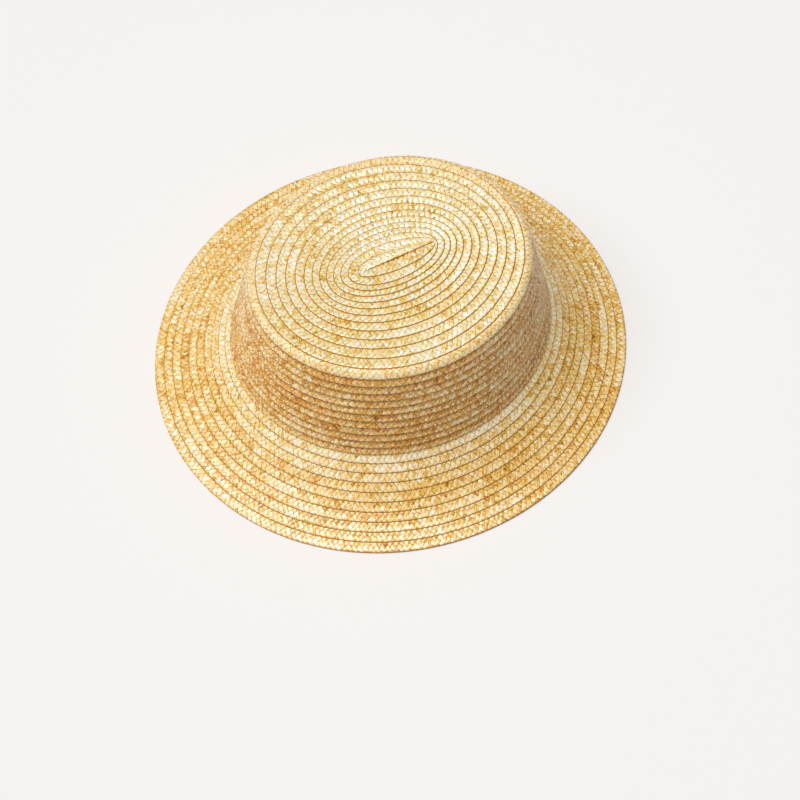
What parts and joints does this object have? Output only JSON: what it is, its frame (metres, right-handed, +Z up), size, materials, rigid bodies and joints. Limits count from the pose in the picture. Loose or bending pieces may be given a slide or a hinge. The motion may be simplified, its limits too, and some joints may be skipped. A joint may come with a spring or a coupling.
{
  "type": "straw boater hat",
  "caption": "Natural wheat-straw hat with a flat oval crown and a falling brim, sewn from one lapped plait, without band or lining.",
  "frame": {"origin": "on the ground under the middle of the hat, which stands on the underside of its brim", "axes": "+X along the head's length towards the pinched end of the tip's seam, +Y across the head, +Z up through the crown"},
  "size_m": [0.2924, 0.2724, 0.0943],
  "materials": {
    "straw": "glossy plaited wheat straw, natural"
  },
  "bodies": {
    "root": {"crown_tip": "straw", "crown_side": "straw", "brim": "straw"}
  },
  "joints": []
}
